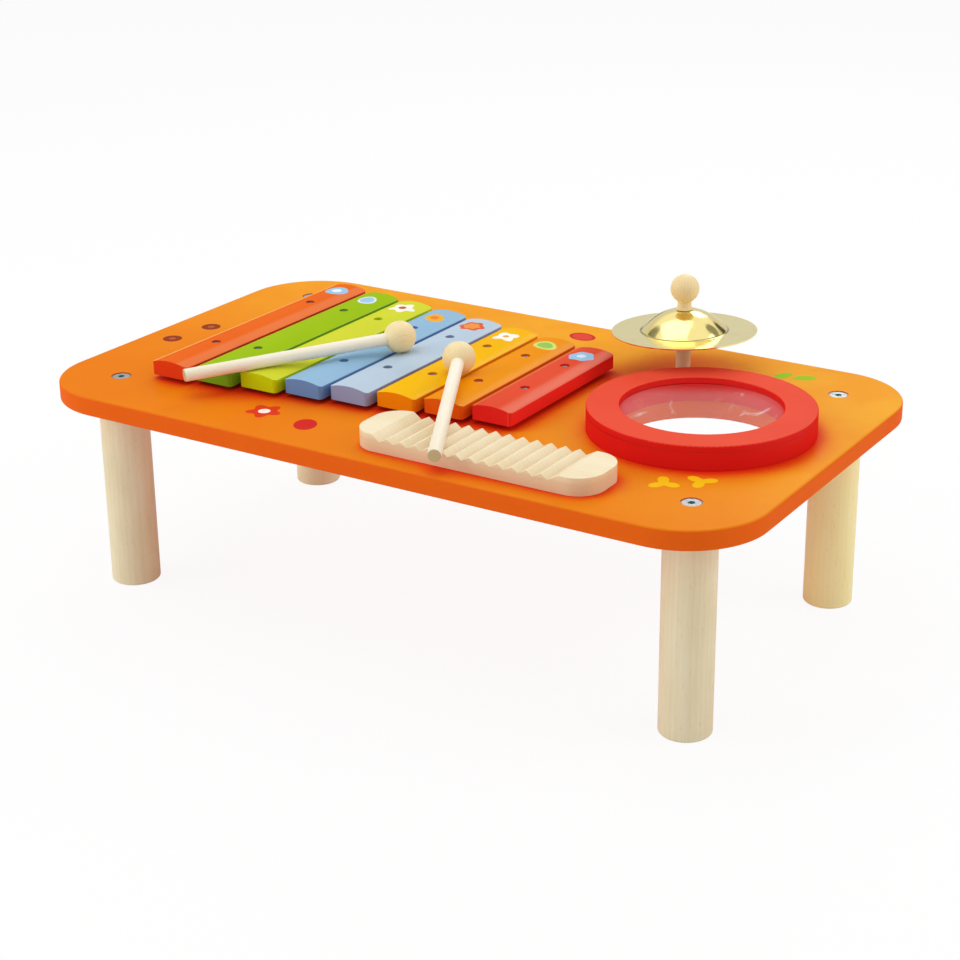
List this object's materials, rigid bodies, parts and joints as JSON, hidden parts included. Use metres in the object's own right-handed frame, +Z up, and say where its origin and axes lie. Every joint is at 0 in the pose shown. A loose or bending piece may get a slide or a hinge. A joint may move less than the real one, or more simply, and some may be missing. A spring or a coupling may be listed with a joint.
{
  "type": "musical activity table",
  "caption": "Low rounded play table on round legs with an arched-bar xylophone, ridged rasp board, clear-skinned drum, cymbal on a post and loose mallets.",
  "frame": {"origin": "on the floor under the middle of the board", "axes": "+Z up, +X along the board's long side from xylophone to drum, -Y towards the player"},
  "size_m": [0.5, 0.292, 0.2092],
  "materials": {
    "board_paint": "satin orange paint on board",
    "natural_wood": "pale sanded wood, clear lacquer",
    "drum_paint": "gloss red paint on wood",
    "clear_film": "clear taut plastic film",
    "cymbal_brass": "polished",
    "zinc": "bright zinc plate",
    "felt": "pressed wool felt",
    "bar_orange_red": "satin paint on wood",
    "bar_green": "satin paint on wood",
    "bar_lime": "satin paint on wood",
    "bar_blue": "satin paint on wood",
    "bar_pale_blue": "satin paint on wood",
    "bar_yellow": "satin paint on wood",
    "bar_orange": "satin paint on wood",
    "bar_red": "satin paint on wood"
  },
  "bodies": {
    "table": {"bar_pins": "zinc", "cymbal_knob": "natural_wood", "cymbal_post": "natural_wood", "cymbal_post_screw": "zinc", "drum_hoop": "drum_paint", "drum_ring": "drum_paint", "drum_screws": "zinc", "drum_skin": "clear_film", "front_felt_strip": "felt", "leg_bolts": "zinc", "leg_front_left": "natural_wood", "leg_front_right": "natural_wood", "leg_inserts": "zinc", "leg_rear_left": "natural_wood", "leg_rear_right": "natural_wood", "rasp_board": "natural_wood", "rasp_board_screws": "zinc", "rear_felt_strip": "felt", "tabletop": "board_paint", "xylophone_bar_1": "bar_orange_red", "xylophone_bar_2": "bar_green", "xylophone_bar_3": "bar_lime", "xylophone_bar_4": "bar_blue", "xylophone_bar_5": "bar_pale_blue", "xylophone_bar_6": "bar_yellow", "xylophone_bar_7": "bar_orange", "xylophone_bar_8": "bar_red"},
    "cymbal_seat": {"cymbal_washer": "felt"},
    "cymbal": {"cymbal": "cymbal_brass"},
    "first_mallet": {"first_mallet_stick": "natural_wood", "first_mallet_head": "natural_wood"},
    "second_mallet": {"second_mallet_stick": "natural_wood", "second_mallet_head": "natural_wood"}
  },
  "joints": [
    {"name": "cymbal_rock", "type": "hinge", "parent": "table", "child": "cymbal_seat", "pos_m": [0.103, 0.09, 0.1828], "axis": [-0.5373, -0.8434, 0], "range_deg": [-6.4, 0]},
    {"name": "cymbal_spin", "type": "hinge", "parent": "cymbal_seat", "child": "cymbal", "pos_m": [0.103, 0.09, 0.1828], "axis": [-0.0471, 0.03, 0.9984], "continuous": true},
    {"name": "first_mallet_lift", "type": "slide", "parent": "table", "child": "first_mallet", "axis": [0, 0, 1], "range_m": [0, 0.12]},
    {"name": "second_mallet_lift", "type": "slide", "parent": "table", "child": "second_mallet", "axis": [0, 0, 1], "range_m": [0, 0.12]}
  ]
}
